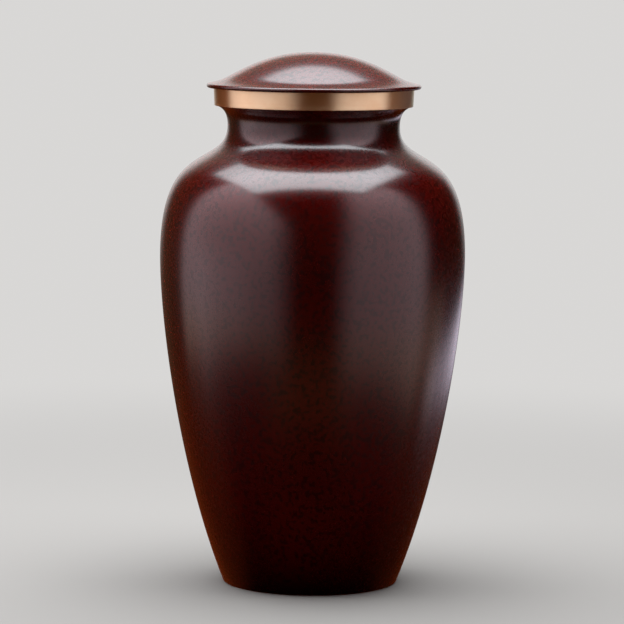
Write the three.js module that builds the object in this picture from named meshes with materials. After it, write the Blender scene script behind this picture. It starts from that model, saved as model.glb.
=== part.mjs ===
// Brass cremation urn: a hollow cast vessel in dark speckled enamel, closed by a lift-off lid. The lid is a
// bare turned brass collar, whose spigot drops into the neck, under an enamelled dome with a thin flange.
// Millimetres, +Z up, origin at the centre of the underside. Each outline is drawn as radius and height.
import * as THREE from "three";

// How finely the turned forms are divided
const SEGMENTS_AROUND = 48;
const OUTER_STEPS = 9;
const INNER_STEPS = 6;
const LIP_STEPS = 5;
const EDGE_STEPS = 3;

// Vessel: foot
const FOOT_RADIUS = 44.4;
const FOOT_HEIGHT = 2;
const FOOT_ROUNDING = 0.8;
const FLANK_LEAN = THREE.MathUtils.degToRad(21.6);
const RECESS_RADIUS = 36;
const RECESS_DEPTH = 1.2;

// Vessel: flank, belly, shoulder, neck and lip, each with the reach of its curve below and above
const FLANK_REACH = 58.4;
const BELLY_RADIUS = 76.2;
const BELLY_HEIGHT = 164.4;
const BELLY_REACH_BELOW = 33.4;
const BELLY_REACH_ABOVE = 31.6;
const SHOULDER_RADIUS = 60.25;
const SHOULDER_HEIGHT = 210.6;
const SHOULDER_SLOPE = THREE.MathUtils.degToRad(36);
const SHOULDER_REACH_BELOW = 8.9;
const SHOULDER_REACH_ABOVE = 11.2;
const NECK_RADIUS = 42.9;
const NECK_HEIGHT = 229.4;
const NECK_REACH_BELOW = 11;
const NECK_REACH_ABOVE = 7.3;
const LIP_RADIUS = 48;
const LIP_SLOPE = THREE.MathUtils.degToRad(30);
const LIP_REACH = 2;
const LIP_CHAMFER = 0.2;
const SEAT_HEIGHT = 239.2;

// Vessel: inside
const WALL = 2.4;
const FLOOR_HEIGHT = 5;
const BORE_RADIUS = NECK_RADIUS - WALL;
const BORE_CHAMFER = 0.6;

// Lid collar
const COLLAR_HEIGHT = 8.8;
const COLLAR_RADIUS_TOP = 49.9;
const COLLAR_RADIUS_BOTTOM = 49.5;
const COLLAR_ROUNDING = 0.3;
const SPIGOT_CLEARANCE = 0.5;
const SPIGOT_WALL = 2.5;
const SPIGOT_LENGTH = 9;

// Lid dome
const DOME_TOP = 265.9;
const CROWN_REACH = 18;
const OGEE_RADIUS = 42.5;
const OGEE_HEIGHT = 253.65;
const OGEE_SLOPE = THREE.MathUtils.degToRad(29.5);
const OGEE_REACH_INSIDE = 14;
const OGEE_REACH_OUTSIDE = 4;
const FLANGE_RADIUS = 53.45;
const FLANGE_SLOPE = THREE.MathUtils.degToRad(12);
const FLANGE_REACH = 4.5;
const FLANGE_EDGE = 1.05;
const DOME_WALL = 2.2;

const point = (radius, height) => new THREE.Vector2(radius, height);

// The point at a distance from another, in a direction given as an angle from the horizontal.
const along = (from, angle, distance) =>
  point(from.x + distance * Math.cos(angle), from.y + distance * Math.sin(angle));

// A smooth stretch of outline between two ends, pulled towards two handles.
const stretch = (start, startHandle, endHandle, end, steps) =>
  new THREE.CubicBezierCurve(start, startHandle, endHandle, end).getPoints(steps);

// A rounded edge about a centre, run anticlockwise.
const rounding = (centre, radius, fromAngle, toAngle, steps) =>
  new THREE.EllipseCurve(centre.x, centre.y, radius, radius, fromAngle, toAngle).getPoints(steps);

// Stretches laid end to end, with each point that two of them share kept once.
function joined(...stretches) {
  const tolerance = 1e-6;
  return stretches.flat().filter((p, i, all) => i === 0 || p.distanceTo(all[i - 1]) > tolerance);
}

// An outline moved sideways by a wall's thickness, to the left of the way it runs.
function offset(outline, thickness) {
  return outline.map((p, i) => {
    const before = outline[Math.max(i - 1, 0)];
    const after = outline[Math.min(i + 1, outline.length - 1)];
    const way = after.clone().sub(before).normalize();
    return point(p.x - way.y * thickness, p.y + way.x * thickness);
  });
}

// A named piece turned about the vertical axis. Its outline runs up the outside and down the inside.
function turned(name, outline, material) {
  const geometry = new THREE.LatheGeometry(outline, SEGMENTS_AROUND);
  geometry.rotateX(Math.PI / 2);
  const mesh = new THREE.Mesh(geometry, material);
  mesh.name = name;
  return mesh;
}

// The vessel's outer outline from the foot up to the neck.
function flankToNeck(steps) {
  const foot = point(FOOT_RADIUS, FOOT_HEIGHT);
  const belly = point(BELLY_RADIUS, BELLY_HEIGHT);
  const shoulder = point(SHOULDER_RADIUS, SHOULDER_HEIGHT);
  const neck = point(NECK_RADIUS, NECK_HEIGHT);
  const up = Math.PI / 2;
  const inAndUp = Math.PI - SHOULDER_SLOPE;
  return joined(
    stretch(
      foot,
      along(foot, up - FLANK_LEAN, FLANK_REACH),
      along(belly, -up, BELLY_REACH_BELOW),
      belly,
      steps,
    ),
    stretch(
      belly,
      along(belly, up, BELLY_REACH_ABOVE),
      along(shoulder, inAndUp, -SHOULDER_REACH_BELOW),
      shoulder,
      steps,
    ),
    stretch(
      shoulder,
      along(shoulder, inAndUp, SHOULDER_REACH_ABOVE),
      along(neck, -up, NECK_REACH_BELOW),
      neck,
      steps,
    ),
  );
}

// The vessel: a foot ring round a shallow turned recess, the swelling body, and a flared lip round a bore.
function urnBody(material) {
  const edgeHeight = FOOT_ROUNDING * (1 - Math.sin(FLANK_LEAN));
  const edgeRadius = FOOT_RADIUS - (FOOT_HEIGHT - edgeHeight) * Math.tan(FLANK_LEAN);
  const edgeCentre = point(edgeRadius - FOOT_ROUNDING * Math.cos(FLANK_LEAN), FOOT_ROUNDING);
  const underside = [
    point(0, RECESS_DEPTH),
    point(RECESS_RADIUS, RECESS_DEPTH),
    point(RECESS_RADIUS + RECESS_DEPTH, 0),
  ];
  const footEdge = rounding(edgeCentre, FOOT_ROUNDING, -Math.PI / 2, -FLANK_LEAN, EDGE_STEPS);

  const neck = point(NECK_RADIUS, NECK_HEIGHT);
  const lip = point(LIP_RADIUS, SEAT_HEIGHT - LIP_CHAMFER);
  const flare = stretch(
    neck,
    along(neck, Math.PI / 2, NECK_REACH_ABOVE),
    along(lip, LIP_SLOPE, -LIP_REACH),
    lip,
    LIP_STEPS,
  );
  const mouth = [
    point(LIP_RADIUS - LIP_CHAMFER, SEAT_HEIGHT),
    point(BORE_RADIUS + BORE_CHAMFER, SEAT_HEIGHT),
    point(BORE_RADIUS, SEAT_HEIGHT - BORE_CHAMFER),
    point(BORE_RADIUS, NECK_HEIGHT),
  ];

  const insideOfWall = offset(flankToNeck(INNER_STEPS), WALL).slice(0, -1);
  const inside = insideOfWall.filter((p) => p.y > FLOOR_HEIGHT).reverse();
  const flankAtFloor = FOOT_RADIUS + (FLOOR_HEIGHT - FOOT_HEIGHT) * Math.tan(FLANK_LEAN);
  const floorRadius = flankAtFloor - WALL / Math.cos(FLANK_LEAN);
  const floor = [point(floorRadius, FLOOR_HEIGHT), point(0, FLOOR_HEIGHT)];
  const outline = joined(underside, footEdge, flankToNeck(OUTER_STEPS), flare, mouth, inside, floor);
  return turned("urn_body", outline, material);
}

// The lid's collar: a slightly tapered ring that sits on the lip, with a plain spigot down into the neck.
function lidCollar(material) {
  const top = SEAT_HEIGHT + COLLAR_HEIGHT;
  const spigotRadius = BORE_RADIUS - SPIGOT_CLEARANCE;
  const holeRadius = spigotRadius - SPIGOT_WALL;
  const spigotEnd = SEAT_HEIGHT - SPIGOT_LENGTH;
  const edgeCentre = point(COLLAR_RADIUS_BOTTOM - COLLAR_ROUNDING, SEAT_HEIGHT + COLLAR_ROUNDING);
  const outline = joined(
    [point(holeRadius, spigotEnd), point(spigotRadius, spigotEnd), point(spigotRadius, SEAT_HEIGHT)],
    rounding(edgeCentre, COLLAR_ROUNDING, -Math.PI / 2, 0, EDGE_STEPS),
    [point(COLLAR_RADIUS_TOP, top), point(holeRadius, top), point(holeRadius, spigotEnd)],
  );
  return turned("lid_collar", outline, material);
}

// The lid's dome: a low crown that turns through an ogee into a thin flange, hollow underneath.
function lidDome(material) {
  const underside = SEAT_HEIGHT + COLLAR_HEIGHT;
  const crown = point(0, DOME_TOP);
  const ogee = point(OGEE_RADIUS, OGEE_HEIGHT);
  const edgeCentre = point(FLANGE_RADIUS - FLANGE_EDGE, underside + FLANGE_EDGE);
  const flangeAngle = Math.PI / 2 - FLANGE_SLOPE;
  const flange = along(edgeCentre, flangeAngle, FLANGE_EDGE);
  const inAndUp = Math.PI - OGEE_SLOPE;
  const edge = rounding(edgeCentre, FLANGE_EDGE, -Math.PI / 2, flangeAngle, 2 * EDGE_STEPS);
  const flare = stretch(
    flange,
    along(flange, Math.PI - FLANGE_SLOPE, FLANGE_REACH),
    along(ogee, inAndUp, -OGEE_REACH_OUTSIDE),
    ogee,
    LIP_STEPS,
  );
  const rise = (steps) =>
    stretch(ogee, along(ogee, inAndUp, OGEE_REACH_INSIDE), point(CROWN_REACH, DOME_TOP), crown, steps);
  const inside = offset(rise(INNER_STEPS), DOME_WALL).reverse();
  const hollowRadius = inside.at(-1).x;
  inside[0] = point(0, DOME_TOP - DOME_WALL);
  const rim = [point(hollowRadius, underside), edge[0]];
  return turned("lid_dome", joined(edge, flare, rise(OUTER_STEPS)).concat(inside, rim), material);
}

const enamel = () => new THREE.MeshStandardMaterial({ color: 0x3c1611, roughness: 0.32, metalness: 0 });
const brass = () => new THREE.MeshStandardMaterial({ color: 0xd8b28a, roughness: 0.28, metalness: 1 });

const urn = new THREE.Group();
urn.add(urnBody(enamel()), lidCollar(brass()), lidDome(enamel()));

export default urn;
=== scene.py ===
"""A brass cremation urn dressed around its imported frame: enamelled body, bare collar, enamelled dome.

Sizes of the urn are millimetres, as on a turner's drawing, and become metres where a mesh is made. The
studio around it is in metres, and angles of its light are degrees. Every turned form is an outline of
radius and height carried round the vertical axis.
"""

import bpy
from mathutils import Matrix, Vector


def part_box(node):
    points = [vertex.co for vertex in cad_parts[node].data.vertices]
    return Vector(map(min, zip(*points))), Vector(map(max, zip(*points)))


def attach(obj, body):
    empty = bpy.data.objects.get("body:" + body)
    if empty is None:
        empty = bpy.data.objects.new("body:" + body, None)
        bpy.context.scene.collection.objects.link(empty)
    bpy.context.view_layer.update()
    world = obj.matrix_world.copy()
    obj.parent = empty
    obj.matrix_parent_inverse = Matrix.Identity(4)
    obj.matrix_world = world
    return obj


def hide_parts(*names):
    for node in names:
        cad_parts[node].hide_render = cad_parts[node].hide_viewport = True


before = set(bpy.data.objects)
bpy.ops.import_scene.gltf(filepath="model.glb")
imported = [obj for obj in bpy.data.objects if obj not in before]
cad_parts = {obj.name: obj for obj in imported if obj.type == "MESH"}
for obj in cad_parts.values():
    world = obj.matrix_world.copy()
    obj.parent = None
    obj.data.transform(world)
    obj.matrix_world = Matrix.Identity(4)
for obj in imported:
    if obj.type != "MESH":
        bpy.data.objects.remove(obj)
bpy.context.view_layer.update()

import logging
import math
from dataclasses import dataclass, replace
from enum import Enum
from typing import Any

import bpy
import numpy as np
from mathutils import Matrix, Vector

log = logging.getLogger("urn")

Colour = tuple[float, float, float, float]
Pair = tuple[float, float]

MM = 0.001
FULL_TURN = 360.0
TOLERANCE = 1e-6
IMAGE_SIDE = 624
BODY = "root"
BARE = "bare"
GLOW = "glow"
BACKGROUND: Colour = (0.69, 0.68, 0.67, 1.0)
OVERHEAD_HEIGHT = 0.87


class Slot(Enum):
    """The record's material slots."""

    ENAMEL = "enamel"
    BRASS = "turned_brass"


class Skin(Enum):
    """What a stretch of outline is finished with, as the value of the mesh's bare attribute."""

    ENAMELLED = 0.0
    BARE = 1.0


class Tint(Enum):
    """Colours of the studio's light, as red, green and blue."""

    WHITE = (1.0, 1.0, 1.0)
    ICE = (0.94, 1.0, 1.05)
    LILAC = (1.0, 0.9, 1.09)
    CREAM = (1.0, 0.95, 0.8)
    ROSE = (1.26, 0.98, 1.05)
    TAWNY = (1.32, 0.95, 0.76)
    TAN = (1.0, 0.60, 0.25)
    AMBER = (1.0, 0.45, 0.22)
    EMBER = (1.0, 0.4, 0.25)
    RUST = (1.0, 0.16, 0.03)


def point(radius: float, height: float) -> np.ndarray:
    """A point of an outline."""
    return np.array([radius, height], dtype=float)


def along(start: np.ndarray, angle: float, distance: float) -> np.ndarray:
    """The point at a distance from another, in a direction given as an angle from the horizontal."""
    return start + distance * np.array([math.cos(angle), math.sin(angle)])


def straight(start: np.ndarray, end: np.ndarray, steps: int = 1) -> np.ndarray:
    """Evenly spaced points on a straight line.

    Args:
        start: First point.
        end: Last point.
        steps: Number of equal steps between them.

    Returns:
        The points, one row each.
    """
    t = np.linspace(0.0, 1.0, steps + 1)[:, None]
    return (1 - t) * start + t * end


def curve(
    start: np.ndarray, pull_out: np.ndarray, pull_in: np.ndarray, end: np.ndarray, steps: int
) -> np.ndarray:
    """A smooth stretch: four points weighted by the cubic Bernstein polynomials of t, from 0 to 1.

    Args:
        start: First point.
        pull_out: Handle that the curve leaves the first point towards.
        pull_in: Handle that the curve comes to the last point from.
        end: Last point.
        steps: Number of steps in t.

    Returns:
        The points, one row each.
    """
    t = np.linspace(0.0, 1.0, steps + 1)[:, None]
    s = 1 - t
    return s**3 * start + 3 * s**2 * t * pull_out + 3 * s * t**2 * pull_in + t**3 * end


def rounding(centre: np.ndarray, radius: float, first: float, last: float, steps: int) -> np.ndarray:
    """A rounded edge: the centre plus the radius times the cosine and sine of an angle that runs evenly.

    Args:
        centre: Centre of the edge's circle.
        radius: Its radius.
        first: Angle of the first point, in radians from the horizontal.
        last: Angle of the last point.
        steps: Number of equal steps between them.

    Returns:
        The points, one row each.
    """
    angle = np.linspace(first, last, steps + 1)
    return centre + radius * np.stack([np.cos(angle), np.sin(angle)], axis=1)


def offset(outline: np.ndarray, thickness: float) -> np.ndarray:
    """An outline moved to the left of its way: each point plus the wall times its left-hand normal.

    Args:
        outline: Points, one row each.
        thickness: Wall thickness.

    Returns:
        As many points on the inner side of the wall.
    """
    way = np.gradient(outline, axis=0)
    way /= np.linalg.norm(way, axis=1, keepdims=True)
    return outline + thickness * np.stack([-way[:, 1], way[:, 0]], axis=1)


@dataclass(frozen=True)
class Stretch:
    """A run of outline points, in millimetres, with one finish."""

    points: np.ndarray
    skin: Skin


def add_object(name: str, mesh: bpy.types.Mesh, material: bpy.types.Material) -> bpy.types.Object:
    """Puts a mesh into the scene at the origin.

    Args:
        name: The piece's name.
        mesh: Its mesh, in metres.
        material: Its only material.

    Returns:
        The new object.
    """
    mesh.materials.append(material)
    piece = bpy.data.objects.new(name, mesh)
    bpy.context.scene.collection.objects.link(piece)
    return piece


def dress(piece: bpy.types.Object, node: str) -> bpy.types.Object:
    """Fixes a finished piece to the body and lets it stand for its node.

    Args:
        piece: The piece.
        node: The node that it replaces.

    Returns:
        The same piece.
    """
    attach(piece, BODY)
    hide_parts(node)
    return piece


def set_attribute(mesh: bpy.types.Mesh, name: str, values: np.ndarray) -> None:
    """Stores one number, or three, for each vertex.

    Args:
        mesh: The mesh.
        name: The attribute's name.
        values: One row for each vertex, in order.
    """
    kind, field = ("FLOAT_VECTOR", "vector") if values.shape[-1] == 3 else ("FLOAT", "value")
    made = mesh.attributes.new(name, kind, "POINT")
    made.data.foreach_set(field, np.ascontiguousarray(values, dtype=np.float32).ravel())


@dataclass(frozen=True)
class Turning:
    """A closed outline carried round the vertical axis, up the outside and down the inside."""

    stretches: tuple[Stretch, ...]
    segments: int = 256
    crease_deg: float = 32.0

    def outline(self) -> tuple[np.ndarray, np.ndarray]:
        """The stretches laid end to end, with each point that two of them share kept once.

        Returns:
            The points in millimetres, and the bare value of each.
        """
        points = np.concatenate([s.points for s in self.stretches])
        bare = np.concatenate([np.full(len(s.points), s.skin.value) for s in self.stretches])
        step = np.linalg.norm(np.diff(points, axis=0), axis=1)
        keep = np.concatenate([[True], step > TOLERANCE])
        return points[keep], bare[keep]

    def mesh(self, name: str) -> bpy.types.Mesh:
        """The surface: x and y are the radius times the cosine and sine of the turn, z is the height.

        An outline that starts and ends on the axis closes there with a fan of triangles at each pole, and
        any other outline closes on itself.

        Args:
            name: The mesh's name.

        Returns:
            A closed mesh in metres, with the bare attribute.
        """
        points, bare = self.outline()
        on_axis = points[0, 0] < TOLERANCE
        rings = points[1:-1] if on_axis else points[:-1]
        turn = np.linspace(0.0, 2 * np.pi, self.segments, endpoint=False)
        radius, height = rings[:, :1] * MM, rings[:, 1:] * MM
        grid = np.stack([radius * np.cos(turn), radius * np.sin(turn), height + 0 * turn], axis=-1)
        grid = grid.reshape(-1, 3)

        count = len(rings)
        here = np.arange(self.segments)
        after = np.roll(here, -1)
        low = np.arange(count - 1 if on_axis else count)[:, None] * self.segments
        high = (low + self.segments) % (count * self.segments)
        quads = np.stack([low + here, low + after, high + after, high + here], axis=-1)
        faces = quads.reshape(-1, 4).tolist()
        value = np.repeat(bare[1:-1] if on_axis else bare[:-1], self.segments)
        if on_axis:
            poles = np.array([[0.0, 0.0, points[0, 1] * MM], [0.0, 0.0, points[-1, 1] * MM]])
            first, last = len(grid), len(grid) + 1
            top = (count - 1) * self.segments
            faces += np.stack([np.full_like(here, first), after, here], axis=-1).tolist()
            faces += np.stack([np.full_like(here, last), top + here, top + after], axis=-1).tolist()
            grid = np.concatenate([grid, poles])
            value = np.concatenate([value, [bare[0], bare[-1]]])

        mesh = bpy.data.meshes.new(name)
        mesh.from_pydata(grid, [], faces)
        mesh.shade_smooth()
        mesh.set_sharp_from_angle(angle=math.radians(self.crease_deg))
        set_attribute(mesh, BARE, value[:, None])
        return mesh


class Term:
    """A shader value that takes part in Python arithmetic: each operator adds one Math node."""

    def __init__(self, bench: "Bench", socket: bpy.types.NodeSocket) -> None:
        """Keeps the socket and the bench that adds nodes beside it."""
        self.bench = bench
        self.socket = socket

    def math(self, operation: str, first: "Number", second: "Number") -> "Term":
        """Adds a Math node.

        Args:
            operation: The node's operation.
            first: Its first value.
            second: Its second value.

        Returns:
            The node's result.
        """
        node = self.bench.node("ShaderNodeMath", {"operation": operation}, {0: first, 1: second})
        return Term(self.bench, node.outputs[0])

    def __add__(self, other: "Number") -> "Term":
        """self + other."""
        return self.math("ADD", self, other)

    def __radd__(self, other: "Number") -> "Term":
        """other + self."""
        return self.math("ADD", other, self)

    def __sub__(self, other: "Number") -> "Term":
        """self - other."""
        return self.math("SUBTRACT", self, other)

    def __rsub__(self, other: "Number") -> "Term":
        """other - self."""
        return self.math("SUBTRACT", other, self)

    def __mul__(self, other: "Number") -> "Term":
        """self * other."""
        return self.math("MULTIPLY", self, other)

    def __rmul__(self, other: "Number") -> "Term":
        """other * self."""
        return self.math("MULTIPLY", other, self)

    def larger(self, other: "Number") -> "Term":
        """The larger of self and other."""
        return self.math("MAXIMUM", self, other)


Number = float | Term


@dataclass(frozen=True)
class Grain:
    """A noise: features to a metre, octaves of finer noise over them, and how strong those are."""

    per_metre: float
    detail: float = 2.0
    roughness: float = 0.5


class Bench:
    """Adds nodes to one tree and links them."""

    def __init__(self, tree: bpy.types.NodeTree) -> None:
        """Empties the tree."""
        self.tree = tree
        tree.nodes.clear()

    def node(
        self,
        kind: str,
        settings: dict[str, Any] | None = None,
        inputs: dict[str | int, Any] | None = None,
    ) -> bpy.types.Node:
        """Adds a node: its settings are set first, then its sockets.

        Args:
            kind: The node's type.
            settings: Properties of the node, by name.
            inputs: Values, terms or sockets, by the input's identifier, name or number.

        Returns:
            The new node.
        """
        made = self.tree.nodes.new(kind)
        for key, setting in (settings or {}).items():
            setattr(made, key, setting)
        names = {s.identifier: s for s in reversed(made.inputs)}
        names |= {s.name: s for s in reversed(made.inputs)}
        for key, given in (inputs or {}).items():
            socket = made.inputs[key] if isinstance(key, int) else names[key]
            given = given.socket if isinstance(given, Term) else given
            if isinstance(given, bpy.types.NodeSocket):
                self.tree.links.new(given, socket)
            else:
                socket.default_value = given
        return made

    def term(
        self,
        kind: str,
        output: str | int,
        settings: dict[str, Any] | None = None,
        inputs: dict[str | int, Any] | None = None,
    ) -> Term:
        """One output of a new node.

        Args:
            kind: The node's type.
            output: The output's name or number.
            settings: Properties of the node, by name.
            inputs: Values, terms or sockets, by the input's identifier, name or number.

        Returns:
            The output as a term.
        """
        return Term(self, self.node(kind, settings, inputs).outputs[output])

    def place(self) -> Term:
        """The point's place in the object's own coordinates."""
        return self.term("ShaderNodeTexCoord", "Object")

    def attribute(self, name: str, output: str) -> Term:
        """What is kept on the mesh under a name: a number from Fac, or three from Vector."""
        return self.term("ShaderNodeAttribute", output, {"attribute_name": name})

    def fade(self, value: Number, low: float, high: float) -> Term:
        """A smooth step.

        Args:
            value: What the step follows.
            low: Where it is 0.
            high: Where it is 1.

        Returns:
            The step, from 0 to 1.
        """
        return self.term(
            "ShaderNodeMapRange",
            "Result",
            {"interpolation_type": "SMOOTHSTEP"},
            {"Value": value, "From Min": low, "From Max": high},
        )

    def blend(self, factor: Number, first: Any, second: Any) -> Term:
        """A colour between two others.

        Args:
            factor: 0 for the first colour and 1 for the second.
            first: A colour, or a term that gives one.
            second: Likewise.

        Returns:
            The mixed colour.
        """
        made = self.node(
            "ShaderNodeMix",
            {"data_type": "RGBA"},
            {"Factor_Float": factor, "A_Color": first, "B_Color": second},
        )
        return Term(self, next(s for s in made.outputs if s.identifier == "Result_Color"))

    def grain(self, place: Term, grain: Grain) -> Term:
        """Noise in space.

        Args:
            place: Object coordinates.
            grain: The noise's size and detail.

        Returns:
            The noise, about 0 to 1.
        """
        return self.term(
            "ShaderNodeTexNoise",
            "Fac",
            {"noise_dimensions": "3D"},
            {
                "Vector": place,
                "Scale": grain.per_metre,
                "Detail": grain.detail,
                "Roughness": grain.roughness,
            },
        )


def new_material(name: str) -> tuple[bpy.types.Material, Bench]:
    """An empty node material.

    Args:
        name: The material's name.

    Returns:
        The material, and a bench for its tree.
    """
    material = bpy.data.materials.new(name)
    material.use_nodes = True
    return material, Bench(material.node_tree)


@dataclass(frozen=True)
class BareBrass:
    """Bare brass as it comes off the lathe: rings of tool marks about the axis, and a thin dull film."""

    bright: Colour = (0.88, 0.83, 0.545, 1.0)
    tarnished: Colour = (0.82, 0.71, 0.43, 1.0)
    stain: Grain = Grain(60.0, 4.0, 0.6)
    stain_edge: Pair = (0.42, 0.75)
    film: Colour = (0.75, 0.30, 0.11, 1.0)
    film_share: float = 0.2
    film_by_ring: float = 0.1
    film_roughness: float = 0.55
    roughness: float = 0.25
    ring_roughness: float = 0.06
    stretch: float = 0.9
    stretch_turn: float = 0.25
    fine_rings: Grain = Grain(5200.0, 3.0, 0.6)
    broad_rings: Grain = Grain(900.0, 3.0, 0.6)
    fine_weight: float = 0.6
    broad_weight: float = 0.4
    ring_depth: float = 2.2e-6

    def travel(self, bench: Bench) -> Term:
        """How far a tool has come along the profile: the height plus the distance from the axis.

        Args:
            bench: The bench of the material.

        Returns:
            Metres, the same all the way round.
        """
        parts = bench.node("ShaderNodeSeparateXYZ", None, {"Vector": bench.place()})
        across = {"X": parts.outputs["X"], "Y": parts.outputs["Y"]}
        flat = bench.term("ShaderNodeCombineXYZ", 0, None, across)
        radius = bench.term("ShaderNodeVectorMath", "Value", {"operation": "LENGTH"}, {0: flat})
        return Term(bench, parts.outputs["Z"]) + radius

    def rings(self, bench: Bench, travel: Term, grain: Grain) -> Term:
        """Tool marks: noise along the tool's travel.

        Args:
            bench: The bench of the material.
            travel: How far the tool has come.
            grain: The marks' size and detail.

        Returns:
            The marks, about 0 to 1.
        """
        return bench.term(
            "ShaderNodeTexNoise",
            "Fac",
            {"noise_dimensions": "1D"},
            {
                "W": travel,
                "Scale": grain.per_metre,
                "Detail": grain.detail,
                "Roughness": grain.roughness,
            },
        )

    def material(self) -> bpy.types.Material:
        """The collar's finish: a stretched sheen under a share of dull film.

        Returns:
            The material.
        """
        material, bench = new_material("turned_brass")
        travel = self.travel(bench)
        fine = self.rings(bench, travel, self.fine_rings)
        broad = self.rings(bench, travel, self.broad_rings)
        stain = bench.fade(bench.grain(bench.place(), self.stain), *self.stain_edge)
        height = fine * self.fine_weight + broad * self.broad_weight
        bump = bench.node(
            "ShaderNodeBump", None, {"Height": height, "Strength": 1.0, "Distance": self.ring_depth}
        )
        polished = bench.node(
            "ShaderNodeBsdfPrincipled",
            None,
            {
                "Base Color": bench.blend(stain, self.bright, self.tarnished),
                "Metallic": 1.0,
                "Roughness": self.roughness + fine * self.ring_roughness + broad * self.ring_roughness,
                "Anisotropic": self.stretch,
                "Anisotropic Rotation": self.stretch_turn,
                "Normal": bump.outputs["Normal"],
            },
        )
        film = bench.node(
            "ShaderNodeBsdfPrincipled",
            None,
            {"Base Color": self.film, "Metallic": 1.0, "Roughness": self.film_roughness},
        )
        share = self.film_share + broad * self.film_by_ring
        mixed = bench.node(
            "ShaderNodeMixShader", None, {0: share, 1: polished.outputs[0], 2: film.outputs[0]}
        )
        bench.node("ShaderNodeOutputMaterial", None, {"Surface": mixed.outputs[0]})
        return material


@dataclass(frozen=True)
class Enamel:
    """Dark red-brown enamel with black specks under a clear coat, and brass where it is left bare.

    Each edge is the pair of noise values between which a speck, fleck or cloud fades in.
    """

    ground: Colour = (0.072, 0.0018, 0.0010, 1.0)
    deep: Colour = (0.055, 0.0013, 0.0007, 1.0)
    fleck: Colour = (0.078, 0.0045, 0.0024, 1.0)
    speck: Colour = (0.022, 0.0007, 0.0005, 1.0)
    brass: Colour = (0.62, 0.41, 0.22, 1.0)
    speck_grain: Grain = Grain(440.0, 1.5, 0.6)
    speck_edge: Pair = (0.52, 0.36)
    dust_grain: Grain = Grain(900.0, 1.0, 0.5)
    dust_edge: Pair = (0.36, 0.30)
    dust_weight: float = 0.35
    fleck_grain: Grain = Grain(800.0, 1.0, 0.5)
    fleck_edge: Pair = (0.58, 0.70)
    fleck_weight: float = 0.12
    cloud_grain: Grain = Grain(26.0, 3.0)
    cloud_edge: Pair = (0.35, 0.68)
    peel_grain: Grain = Grain(260.0, 1.0)
    peel_depth: float = 7.0e-6
    cast_grain: Grain = Grain(700.0, 4.0, 0.7)
    cast_over_peel: float = 5.0
    cast_roughness: float = 0.12
    roughness: float = 0.27
    speck_roughness: float = 0.03
    brass_roughness: float = 0.42
    coat_roughness: float = 0.17
    coat_lost_to_specks: float = 0.10
    specular: float = 0.25

    def specks(self, bench: Bench, place: Term) -> Term:
        """Black specks and fainter dust, wherever a noise falls below its threshold.

        Args:
            bench: The bench of the material.
            place: Object coordinates.

        Returns:
            1 in a speck and 0 elsewhere.
        """
        large = bench.fade(bench.grain(place, self.speck_grain), *self.speck_edge)
        small = bench.fade(bench.grain(place, self.dust_grain), *self.dust_edge) * self.dust_weight
        return large.larger(small)

    def colour(self, bench: Bench, place: Term, specks: Term) -> Term:
        """A clouded ground with light flecks and black specks in it.

        Args:
            bench: The bench of the material.
            place: Object coordinates.
            specks: Where the black specks are, from 0 to 1.

        Returns:
            The enamel's colour.
        """
        clouds = bench.fade(bench.grain(place, self.cloud_grain), *self.cloud_edge)
        flecks = bench.fade(bench.grain(place, self.fleck_grain), *self.fleck_edge)
        ground = bench.blend(clouds, self.ground, self.deep)
        flecked = bench.blend(flecks * self.fleck_weight, ground, self.fleck)
        return bench.blend(specks, flecked, self.speck)

    def material(self) -> bpy.types.Material:
        """The finish of the body and the dome: enamel, or cast brass where the mesh says bare.

        Returns:
            The material.
        """
        material, bench = new_material("speckled_enamel")
        place = bench.place()
        bare = bench.attribute(BARE, "Fac")
        specks = self.specks(bench, place)
        cast = bench.grain(place, self.cast_grain)
        peel = bench.grain(place, self.peel_grain)
        height = (1 - bare) * peel + bare * cast * self.cast_over_peel
        bump = bench.node(
            "ShaderNodeBump", None, {"Height": height, "Strength": 1.0, "Distance": self.peel_depth}
        )
        enamel_roughness = self.roughness + specks * self.speck_roughness
        metal_roughness = self.brass_roughness + cast * self.cast_roughness
        shader = bench.node(
            "ShaderNodeBsdfPrincipled",
            None,
            {
                "Base Color": bench.blend(bare, self.colour(bench, place, specks), self.brass),
                "Metallic": bare,
                "Roughness": (1 - bare) * enamel_roughness + bare * metal_roughness,
                "Specular IOR Level": self.specular,
                "Coat Weight": (1 - bare) * (1 - specks * self.coat_lost_to_specks),
                "Coat Roughness": self.coat_roughness,
                "Normal": bump.outputs["Normal"],
            },
        )
        bench.node("ShaderNodeOutputMaterial", None, {"Surface": shader.outputs[0]})
        return material


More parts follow.
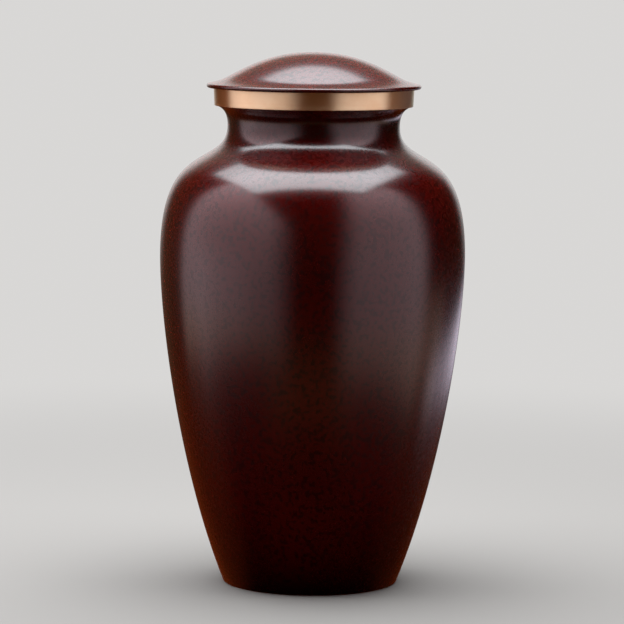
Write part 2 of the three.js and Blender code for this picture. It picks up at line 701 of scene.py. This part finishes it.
@dataclass(frozen=True)
class UrnBody:
    """The hollow vessel: foot ring, swelling flank, shoulder, neck and flared lip round a bore."""

    belly_radius: float
    seat_height: float
    foot_radius: float = 44.4
    foot_height: float = 2.0
    foot_rounding: float = 0.8
    flank_lean: float = math.radians(21.6)
    flank_reach: float = 58.4
    recess_radius: float = 36.0
    recess_depth: float = 1.2
    belly_height: float = 164.4
    belly_reach_below: float = 33.4
    belly_reach_above: float = 31.6
    shoulder_radius: float = 60.25
    shoulder_height: float = 210.6
    shoulder_slope: float = math.radians(36.0)
    shoulder_reach_below: float = 8.9
    shoulder_reach_above: float = 11.2
    neck_radius: float = 42.9
    neck_height: float = 229.4
    neck_reach_below: float = 11.0
    neck_reach_above: float = 7.3
    lip_radius: float = 48.0
    lip_slope: float = math.radians(30.0)
    lip_reach: float = 2.0
    lip_chamfer: float = 0.2
    wall: float = 2.4
    floor_height: float = 5.0
    bore_chamfer: float = 0.6
    outer_steps: int = 64
    inner_steps: int = 24
    lip_steps: int = 28
    recess_steps: int = 12
    flat_steps: int = 8
    edge_steps: int = 8
    ring_steps: int = 4
    bevel_steps: int = 2

    @classmethod
    def from_frame(cls) -> "UrnBody":
        """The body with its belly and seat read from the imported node."""
        low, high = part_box("urn_body")
        return cls(belly_radius=(high.x - low.x) / 2 / MM, seat_height=high.z / MM)

    @property
    def bore_radius(self) -> float:
        """Radius of the neck's straight bore."""
        return self.neck_radius - self.wall

    def flank_to_neck(self, steps: int) -> np.ndarray:
        """The outer outline from the foot to the neck, as three smooth stretches.

        Args:
            steps: Number of steps in each stretch.

        Returns:
            The points, one row each.
        """
        foot = point(self.foot_radius, self.foot_height)
        belly = point(self.belly_radius, self.belly_height)
        shoulder = point(self.shoulder_radius, self.shoulder_height)
        neck = point(self.neck_radius, self.neck_height)
        up, back = math.pi / 2, math.pi - self.shoulder_slope
        flank = curve(
            foot,
            along(foot, up - self.flank_lean, self.flank_reach),
            along(belly, -up, self.belly_reach_below),
            belly,
            steps,
        )
        turn = curve(
            belly,
            along(belly, up, self.belly_reach_above),
            along(shoulder, back, -self.shoulder_reach_below),
            shoulder,
            steps,
        )
        rise = curve(
            shoulder,
            along(shoulder, back, self.shoulder_reach_above),
            along(neck, -up, self.neck_reach_below),
            neck,
            steps,
        )
        return np.concatenate([flank, turn[1:], rise[1:]])

    def underside(self) -> list[Stretch]:
        """The turned recess, the foot ring that the urn stands on, and the ring's rounded edge.

        Returns:
            The stretches from the axis outwards.
        """
        edge_height = self.foot_rounding * (1 - math.sin(self.flank_lean))
        edge_radius = self.foot_radius - (self.foot_height - edge_height) * math.tan(self.flank_lean)
        centre = point(edge_radius - self.foot_rounding * math.cos(self.flank_lean), self.foot_rounding)
        recess_edge = point(self.recess_radius, self.recess_depth)
        ring_start = point(self.recess_radius + self.recess_depth, 0.0)
        ring_end = point(centre[0], 0.0)
        edge = rounding(centre, self.foot_rounding, -math.pi / 2, -self.flank_lean, self.edge_steps)
        return [
            Stretch(straight(point(0.0, self.recess_depth), recess_edge, self.recess_steps), Skin.BARE),
            Stretch(straight(recess_edge, ring_start, self.bevel_steps), Skin.BARE),
            Stretch(straight(ring_start, ring_end, self.ring_steps), Skin.BARE),
            Stretch(edge, Skin.ENAMELLED),
        ]

    def mouth(self) -> list[Stretch]:
        """The flared lip, the flat seat that the collar rests on, and the bore.

        Returns:
            The stretches from the neck's outside to its inside.
        """
        neck = point(self.neck_radius, self.neck_height)
        lip = point(self.lip_radius, self.seat_height - self.lip_chamfer)
        seat = point(self.lip_radius - self.lip_chamfer, self.seat_height)
        bore_edge = point(self.bore_radius + self.bore_chamfer, self.seat_height)
        bore_top = point(self.bore_radius, self.seat_height - self.bore_chamfer)
        flare = curve(
            neck,
            along(neck, math.pi / 2, self.neck_reach_above),
            along(lip, self.lip_slope, -self.lip_reach),
            lip,
            self.lip_steps,
        )
        bore_foot = point(self.bore_radius, self.neck_height)
        return [
            Stretch(flare, Skin.ENAMELLED),
            Stretch(straight(seat, bore_edge, self.ring_steps), Skin.BARE),
            Stretch(straight(bore_top, bore_foot, self.flat_steps), Skin.BARE),
        ]

    def inside(self) -> list[Stretch]:
        """The chamber's wall, a wall's thickness inside the outline, and its floor.

        Returns:
            The stretches from the neck down to the axis.
        """
        wall = offset(self.flank_to_neck(self.inner_steps), self.wall)[:-1]
        wall = wall[wall[:, 1] > self.floor_height][::-1]
        reach = (self.floor_height - self.foot_height) * math.tan(self.flank_lean)
        radius = self.foot_radius + reach - self.wall / math.cos(self.flank_lean)
        corner = point(radius, self.floor_height)
        return [
            Stretch(wall, Skin.BARE),
            Stretch(straight(corner, point(0.0, self.floor_height), self.flat_steps), Skin.BARE),
        ]

    def build(self, material: bpy.types.Material) -> bpy.types.Object:
        """Makes the body and puts it in its node's place.

        Args:
            material: The enamel.

        Returns:
            The piece.
        """
        outer = Stretch(self.flank_to_neck(self.outer_steps), Skin.ENAMELLED)
        turning = Turning((*self.underside(), outer, *self.mouth(), *self.inside()))
        piece = add_object("enamelled_body", turning.mesh("enamelled_body"), material)
        return dress(piece, "urn_body")


@dataclass(frozen=True)
class LidCollar:
    """The bare brass ring that sits on the lip, slightly tapered, with a plain spigot into the neck."""

    seat_height: float
    top_height: float
    bore_radius: float
    radius_top: float = 49.9
    radius_bottom: float = 49.5
    edge_rounding: float = 0.3
    arris: float = 0.25
    spigot_clearance: float = 0.5
    spigot_wall: float = 2.5
    spigot_length: float = 9.0
    face_steps: int = 12
    hole_steps: int = 8
    edge_steps: int = 8
    flat_steps: int = 6
    seat_steps: int = 4
    end_steps: int = 2

    @classmethod
    def from_frame(cls, body: UrnBody) -> "LidCollar":
        """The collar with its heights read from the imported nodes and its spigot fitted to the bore."""
        return cls(body.seat_height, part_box("lid_collar")[1].z / MM, body.bore_radius)

    def build(self, material: bpy.types.Material) -> bpy.types.Object:
        """Makes the collar and puts it in its node's place.

        Args:
            material: The bare brass.

        Returns:
            The piece.
        """
        spigot = self.bore_radius - self.spigot_clearance
        hole = spigot - self.spigot_wall
        end = self.seat_height - self.spigot_length
        centre = point(self.radius_bottom - self.edge_rounding, self.seat_height + self.edge_rounding)
        shoulder = point(spigot, self.seat_height)
        rim = point(self.radius_top, self.top_height - self.arris)
        rim_inside = point(self.radius_top - self.arris, self.top_height)
        hole_top = point(hole, self.top_height)
        hole_end = point(hole, end)
        spigot_end = point(spigot, end)
        runs = (
            straight(hole_end, spigot_end, self.end_steps),
            straight(spigot_end, shoulder, self.flat_steps),
            straight(shoulder, point(centre[0], self.seat_height), self.seat_steps),
            rounding(centre, self.edge_rounding, -math.pi / 2, 0.0, self.edge_steps),
            straight(point(self.radius_bottom, centre[1]), rim, self.face_steps),
            straight(rim_inside, hole_top, self.flat_steps),
            straight(hole_top, hole_end, self.hole_steps),
        )
        turning = Turning(tuple(Stretch(run, Skin.BARE) for run in runs))
        piece = add_object("turned_collar", turning.mesh("turned_collar"), material)
        return dress(piece, "lid_collar")


@dataclass(frozen=True)
class LidDome:
    """The enamelled cap: a low crown that turns through an ogee into a thin flange, hollow underneath."""

    underside: float
    top_height: float
    flange_radius: float
    crown_reach: float = 18.0
    ogee_radius: float = 42.5
    ogee_height: float = 253.65
    ogee_slope: float = math.radians(29.5)
    ogee_reach_inside: float = 14.0
    ogee_reach_outside: float = 4.0
    flange_slope: float = math.radians(12.0)
    flange_reach: float = 4.5
    flange_edge: float = 1.05
    wall: float = 2.2
    rise_steps: int = 72
    hollow_steps: int = 40
    flare_steps: int = 32
    edge_steps: int = 20
    rim_steps: int = 6

    @classmethod
    def from_frame(cls) -> "LidDome":
        """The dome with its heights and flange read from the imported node."""
        low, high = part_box("lid_dome")
        return cls(low.z / MM, high.z / MM, (high.x - low.x) / 2 / MM)

    def rise(self, steps: int) -> np.ndarray:
        """The crown's outer outline from the ogee up to the axis.

        Args:
            steps: Number of steps.

        Returns:
            The points, one row each.
        """
        ogee = point(self.ogee_radius, self.ogee_height)
        handle = along(ogee, math.pi - self.ogee_slope, self.ogee_reach_inside)
        top = point(0.0, self.top_height)
        return curve(ogee, handle, point(self.crown_reach, self.top_height), top, steps)

    def build(self, material: bpy.types.Material) -> bpy.types.Object:
        """Makes the dome and puts it in its node's place.

        Args:
            material: The enamel.

        Returns:
            The piece.
        """
        ogee = point(self.ogee_radius, self.ogee_height)
        centre = point(self.flange_radius - self.flange_edge, self.underside + self.flange_edge)
        top_angle = math.pi / 2 - self.flange_slope
        flange = along(centre, top_angle, self.flange_edge)
        flare = curve(
            flange,
            along(flange, math.pi - self.flange_slope, self.flange_reach),
            along(ogee, math.pi - self.ogee_slope, -self.ogee_reach_outside),
            ogee,
            self.flare_steps,
        )
        hollow = offset(self.rise(self.hollow_steps), self.wall)[::-1]
        hollow[0] = point(0.0, self.top_height - self.wall)
        wall_foot = point(hollow[-1, 0], self.underside)
        edge_foot = point(centre[0], self.underside)
        edge = rounding(centre, self.flange_edge, -math.pi / 2, top_angle, self.edge_steps)
        turning = Turning((
            Stretch(hollow, Skin.BARE),
            Stretch(straight(wall_foot, edge_foot, self.rim_steps)[:-1], Skin.BARE),
            Stretch(edge, Skin.ENAMELLED),
            Stretch(np.concatenate([flare, self.rise(self.rise_steps)[1:]]), Skin.ENAMELLED),
        ))
        piece = add_object("enamelled_dome", turning.mesh("enamelled_dome"), material)
        return dress(piece, "lid_dome")


@dataclass(frozen=True)
class Floor:
    """A pale round floor that runs out into the pale background."""

    radius: float = 3.0
    pale: Colour = (0.46, 0.452, 0.444, 1.0)
    background: Colour = BACKGROUND
    fade: Pair = (0.10, 0.80)
    segments: int = 96
    drop: float = 0.0001

    def material(self) -> bpy.types.Material:
        """Matt near the urn, and the background's own brightness further out.

        Returns:
            The material.
        """
        material, bench = new_material("pale_floor")
        away = bench.term("ShaderNodeVectorMath", "Value", {"operation": "LENGTH"}, {0: bench.place()})
        near = bench.node("ShaderNodeBsdfDiffuse", None, {"Color": self.pale})
        far = bench.node("ShaderNodeEmission", None, {"Color": self.background})
        mixed = bench.node(
            "ShaderNodeMixShader",
            None,
            {0: bench.fade(away, *self.fade), 1: near.outputs[0], 2: far.outputs[0]},
        )
        bench.node("ShaderNodeOutputMaterial", None, {"Surface": mixed.outputs[0]})
        material.cycles.emission_sampling = "NONE"
        return material

    def build(self) -> bpy.types.Object:
        """A flat disc about the axis, just under the foot, with its rim at even turns.

        Returns:
            The floor.
        """
        turn = np.linspace(0.0, 2 * np.pi, self.segments, endpoint=False)
        rim = np.stack([np.cos(turn), np.sin(turn), 0 * turn], axis=1) * self.radius
        rim[:, 2] = -self.drop
        mesh = bpy.data.meshes.new("pale_floor")
        mesh.from_pydata(rim, [], [list(range(self.segments))])
        floor = add_object("pale_floor", mesh, self.material())
        floor.visible_glossy = False
        floor.visible_diffuse = False
        return floor


def ease(value: np.ndarray, low: float | np.ndarray, high: float | np.ndarray) -> np.ndarray:
    """A smooth step: 0 at low, 1 at high, and 3t squared less 2t cubed between them."""
    t = np.clip((value - low) / (high - low), 0.0, 1.0)
    return t * t * (3 - 2 * t)


def glowing(name: str, grid: np.ndarray, glow: np.ndarray) -> bpy.types.Object:
    """A glowing sheet that shows only in the urn's gloss.

    Args:
        name: The sheet's name.
        grid: Its points, in rows and columns.
        glow: Radiance at each point, as red, green and blue.

    Returns:
        The sheet.
    """
    rows, columns = glow.shape[:2]
    index = np.arange(rows * columns).reshape(rows, columns)
    quads = np.stack([index[:-1, :-1], index[1:, :-1], index[1:, 1:], index[:-1, 1:]], axis=-1)
    mesh = bpy.data.meshes.new(name)
    mesh.from_pydata(grid.reshape(-1, 3), [], quads.reshape(-1, 4).tolist())
    set_attribute(mesh, GLOW, glow.reshape(-1, 3))
    material, bench = new_material(name)
    material.cycles.emission_sampling = "NONE"
    shine = bench.node("ShaderNodeEmission", None, {"Color": bench.attribute(GLOW, "Vector")})
    bench.node("ShaderNodeOutputMaterial", None, {"Surface": shine.outputs[0]})
    sheet = add_object(name, mesh, material)
    sheet.visible_camera = False
    sheet.visible_diffuse = False
    sheet.visible_shadow = False
    return sheet


@dataclass(frozen=True)
class Panel:
    """A soft-edged panel of the tent, in degrees round from the camera (right is positive) and up.

    Each edge is a pair: where the panel starts to show, and where it is at its full brightness. A slope
    leans the edge, in degrees for each degree along it, and the growth is per degree of height.
    """

    left: Pair
    right: Pair
    bottom: Pair
    top: Pair
    glow_left: float
    glow_right: float
    growth: float = 0.0
    bottom_slope: float = 0.0
    top_slope: float = 0.0
    left_slope: float = 0.0
    right_slope: float = 0.0
    tint: Tint = Tint.WHITE
    growth_span: Pair = (-20.0, 50.0)

    def glow(self, around: np.ndarray, up: np.ndarray) -> np.ndarray:
        """Radiance: a ramp from left to right, times a growth with height, times the four soft edges.

        Args:
            around: Degrees round from the camera.
            up: Degrees above the horizon.

        Returns:
            Radiance at each point, as red, green and blue.
        """
        run = np.clip((around - self.left[1]) / (self.right[1] - self.left[1]), 0.0, 1.0)
        ramp = self.glow_left + (self.glow_right - self.glow_left) * run
        middle = (self.left[1] + self.right[1]) / 2
        low = up - self.bottom_slope * (around - middle)
        high = up - self.top_slope * (around - middle)
        from_left = around - self.left_slope * up
        from_right = around - self.right_slope * up
        sides = ease(from_left, *self.left) * ease(-from_right, -self.right[0], -self.right[1])
        ends = ease(low, *self.bottom) * ease(-high, -self.top[0], -self.top[1])
        grey = ramp * np.exp(self.growth * np.clip(up, *self.growth_span)) * sides * ends
        return grey[..., None] * np.array(self.tint.value)


@dataclass(frozen=True)
class Tent:
    """A round light tent: its panels show in the gloss, and the gap towards the camera is nearly dark."""

    panels: tuple[Panel, ...]
    radius: float = 3.0
    centre_height: float = 0.17
    lowest: float = -64.0
    highest: float = 64.0
    step: float = 1.5

    def build(self) -> bpy.types.Object:
        """A part of a sphere: the centre plus the radius times the direction round and up.

        Returns:
            The tent.
        """
        around = np.linspace(0.0, FULL_TURN, int(FULL_TURN / self.step) + 1)
        up = np.linspace(self.lowest, self.highest, int((self.highest - self.lowest) / self.step) + 1)
        around, up = np.meshgrid(around, up, indexing="ij")
        glow = sum(
            panel.glow(around + turn, up) for panel in self.panels for turn in (0.0, -FULL_TURN)
        )
        a, e = np.radians(around), np.radians(up)
        way = np.stack([np.cos(e) * np.sin(a), -np.cos(e) * np.cos(a), np.sin(e)], axis=-1)
        centre = np.array([0.0, 0.0, self.centre_height])
        return glowing("light_tent", centre + self.radius * way, glow)


@dataclass(frozen=True)
class Overhead:
    """The level overhead panel as the gloss shows it, brightest towards the camera."""

    height: float = OVERHEAD_HEIGHT
    left: float = -0.65
    right: float = 0.53
    front: float = -0.465
    back: float = 0.565
    glow_front: float = 7.0
    glow_back: float = 3.4
    fall: Pair = (-0.05, 0.45)
    soft_front: float = 0.14
    soft: float = 0.09
    tint: Tint = Tint.ICE
    steps: int = 48

    def build(self) -> bpy.types.Object:
        """A flat grid whose radiance eases from front to back, with soft edges.

        Returns:
            The panel.
        """
        x = np.linspace(self.left, self.right, self.steps + 1)
        y = np.linspace(self.front, self.back, self.steps + 1)
        x, y = np.meshgrid(x, y, indexing="ij")
        base = self.glow_front + (self.glow_back - self.glow_front) * ease(y, *self.fall)
        sides = ease(x, self.left, self.left + self.soft) * ease(-x, -self.right, -self.right + self.soft)
        near = ease(y, self.front, self.front + self.soft_front)
        far = ease(-y, -self.back, -self.back + self.soft)
        grid = np.stack([x, y, np.full_like(x, self.height)], axis=-1)
        glow = (base * sides * near * far)[..., None] * np.array(self.tint.value)
        return glowing("overhead_panel", grid, glow)


@dataclass(frozen=True)
class Softbox:
    """A broad rectangular lamp that lights the colours under the gloss and shows nowhere itself."""

    name: str
    place: tuple[float, float, float]
    across: float
    deep: float
    radiance: float
    tilt: float = 0.0
    tint: Tint = Tint.WHITE

    def build(self) -> bpy.types.Object:
        """Makes the lamp: its power is pi times its radiance times its area.

        Returns:
            The lamp, which shines straight down unless its tilt turns it.
        """
        lamp = bpy.data.lights.new(self.name, "AREA")
        lamp.shape = "RECTANGLE"
        lamp.color = self.tint.value
        lamp.size, lamp.size_y = self.across, self.deep
        lamp.energy = math.pi * self.radiance * self.across * self.deep
        softbox = bpy.data.objects.new(self.name, lamp)
        softbox.location = self.place
        softbox.rotation_euler.x = self.tilt
        softbox.visible_camera = False
        softbox.visible_glossy = False
        bpy.context.scene.collection.objects.link(softbox)
        return softbox


@dataclass(frozen=True)
class Room:
    """What lies beyond the studio: pale where the camera looks, and dark for the urn's gloss."""

    background: Colour = BACKGROUND
    dark: Colour = (0.003, 0.003, 0.003, 1.0)

    def build(self) -> None:
        """Sets the scene's world."""
        world = bpy.data.worlds.new("room")
        world.use_nodes = True
        bench = Bench(world.node_tree)
        seen = bench.term("ShaderNodeLightPath", "Is Camera Ray")
        pale = bench.node("ShaderNodeBackground", None, {"Color": self.background})
        dark = bench.node("ShaderNodeBackground", None, {"Color": self.dark})
        mixed = bench.node("ShaderNodeMixShader", None, {0: seen, 1: dark.outputs[0], 2: pale.outputs[0]})
        bench.node("ShaderNodeOutputWorld", None, {"Surface": mixed.outputs[0]})
        bpy.context.scene.world = world


@dataclass(frozen=True)
class Viewpoint:
    """Where the photograph was taken from, in metres, with its focal length in pixels of the image."""

    distance: float = 1.705
    height: float = 0.3255
    aim_height: float = 0.13588
    focal_pixels: float = 3423.4
    roll: float = math.radians(0.53)
    sensor: float = 36.0

    def build(self) -> bpy.types.Object:
        """Makes the scene's camera: it looks along +Y, a little down, and leans by its roll.

        Returns:
            The camera.
        """
        place = Vector((0.0, -self.distance, self.height))
        forward = (Vector((0.0, 0.0, self.aim_height)) - place).normalized()
        level = forward.cross(Vector((0.0, 0.0, 1.0))).normalized()
        upright = level.cross(forward)
        right = math.cos(self.roll) * level + math.sin(self.roll) * upright
        up = math.cos(self.roll) * upright - math.sin(self.roll) * level
        data = bpy.data.cameras.new("viewpoint")
        data.sensor_width = self.sensor
        data.lens = self.focal_pixels * self.sensor / IMAGE_SIDE
        camera = bpy.data.objects.new("viewpoint", data)
        turn = Matrix((right, up, -forward)).transposed().to_4x4()
        camera.matrix_world = Matrix.Translation(place) @ turn
        bpy.context.scene.collection.objects.link(camera)
        bpy.context.scene.camera = camera
        return camera


LEFT_SCREEN = Panel(
    left=(-118, -106), right=(-10, -37), bottom=(-16.5, -13), top=(63, 50),
    glow_left=0.935, glow_right=0.70, growth=0.0225,
    bottom_slope=-0.07, top_slope=-0.75, left_slope=0.28, tint=Tint.ROSE,
)
RIGHT_SCREEN = Panel(
    left=(15, 38), right=(101, 84), bottom=(-19, -15), top=(56, 44),
    glow_left=0.63, glow_right=0.84, growth=0.019,
    bottom_slope=0.03, left_slope=0.13, right_slope=-0.15, tint=Tint.ROSE,
)
LEFT_SCREEN_FOOT = replace(
    LEFT_SCREEN, bottom=(-19.6, -16.4), top=(-13, -16.5), top_slope=-0.07, tint=Tint.TAWNY
)
RIGHT_SCREEN_FOOT = replace(
    RIGHT_SCREEN, bottom=(-24.6, -19.8), top=(-15, -19), top_slope=0.03, tint=Tint.TAWNY
)
LEFT_FOOT_LIFT = Panel(
    left=(-108, -90), right=(-38, -64), bottom=(-21, -17), top=(6, -8),
    glow_left=0.38, glow_right=0.22, tint=Tint.ROSE,
)
RIGHT_FOOT_LIFT = Panel(
    left=(15, 38), right=(101, 84), bottom=(-24, -19), top=(14, -4),
    glow_left=0.12, glow_right=0.12, bottom_slope=0.03, tint=Tint.ROSE,
)
RIGHT_CORNER = Panel(
    left=(86, 100), right=(128, 112), bottom=(-21, -17.5), top=(-8, -14),
    glow_left=0.30, glow_right=0.30, tint=Tint.TAWNY,
)
RIGHT_STREAK = Panel(
    left=(100, 122), right=(172, 160), bottom=(-15.0, -13.9), top=(-9.8, -12.2),
    glow_left=0.97, glow_right=0.90, bottom_slope=0.17, top_slope=0.17, tint=Tint.LILAC,
)
BACK_SCREEN = Panel(
    left=(148, 167), right=(212, 193), bottom=(-9, 5), top=(24, 16), glow_left=0.80, glow_right=0.75
)
BACK_SCREEN_TOP = Panel(
    left=(140, 167), right=(220, 193), bottom=(12, 24), top=(50, 40),
    glow_left=0.17, glow_right=0.17, tint=Tint.CREAM,
)
FRONT_LOW = Panel(
    left=(-52, -16), right=(48, 14), bottom=(-32, -27), top=(-17, -23),
    glow_left=0.13, glow_right=0.12, tint=Tint.TAN,
)
LEFT_LOW = Panel(
    left=(-200, -170), right=(-70, -100), bottom=(-45, -35), top=(-10, -17),
    glow_left=0.12, glow_right=0.12, tint=Tint.RUST,
)
RIGHT_LOW = Panel(
    left=(70, 100), right=(200, 170), bottom=(-45, -35), top=(-10, -17),
    glow_left=0.06, glow_right=0.06, tint=Tint.RUST,
)
LEFT_HAZE = Panel(
    left=(-190, -170), right=(-98, -120), bottom=(-18, -8), top=(45, 25),
    glow_left=0.08, glow_right=0.07, tint=Tint.AMBER,
)
FRONT_HAZE = Panel(
    left=(-60, -30), right=(60, 30), bottom=(-16, -4), top=(40, 20),
    glow_left=0.028, glow_right=0.028, tint=Tint.AMBER,
)
RIGHT_HAZE = Panel(
    left=(98, 120), right=(190, 170), bottom=(-24, -10), top=(45, 25),
    glow_left=0.02, glow_right=0.02, tint=Tint.AMBER,
)
PANELS = (
    LEFT_SCREEN, LEFT_SCREEN_FOOT, RIGHT_SCREEN, RIGHT_SCREEN_FOOT, BACK_SCREEN, BACK_SCREEN_TOP,
    RIGHT_STREAK, LEFT_FOOT_LIFT, RIGHT_FOOT_LIFT, FRONT_LOW, LEFT_HAZE, RIGHT_CORNER, FRONT_HAZE,
    LEFT_LOW, RIGHT_LOW, RIGHT_HAZE,
)
OVERHEAD_SOFTBOX = Softbox(
    "overhead_softbox", place=(-0.075, 0.105, OVERHEAD_HEIGHT), across=1.13, deep=0.92, radiance=4.8
)
FLOOR_BOUNCE = Softbox(
    "floor_bounce", place=(-0.06, -0.21, 0.002), across=1.0, deep=0.27, radiance=0.47,
    tilt=math.pi, tint=Tint.EMBER,
)


def main() -> None:
    """Builds the urn, then the studio round it."""
    logging.basicConfig(level=logging.INFO, format="%(name)s: %(message)s")
    enamel = Enamel().material()
    brass = BareBrass().material()
    body = UrnBody.from_frame()
    pieces = (
        body.build(enamel),
        LidCollar.from_frame(body).build(brass),
        LidDome.from_frame().build(enamel),
    )
    for piece in pieces:
        log.info("%s has %d faces", piece.name, len(piece.data.polygons))
    Viewpoint().build()
    Floor().build()
    Tent(PANELS).build()
    Overhead().build()
    OVERHEAD_SOFTBOX.build()
    FLOOR_BOUNCE.build()
    Room().build()
    bpy.context.scene.view_settings.view_transform = "Standard"


if __name__ == "__main__":
    main()
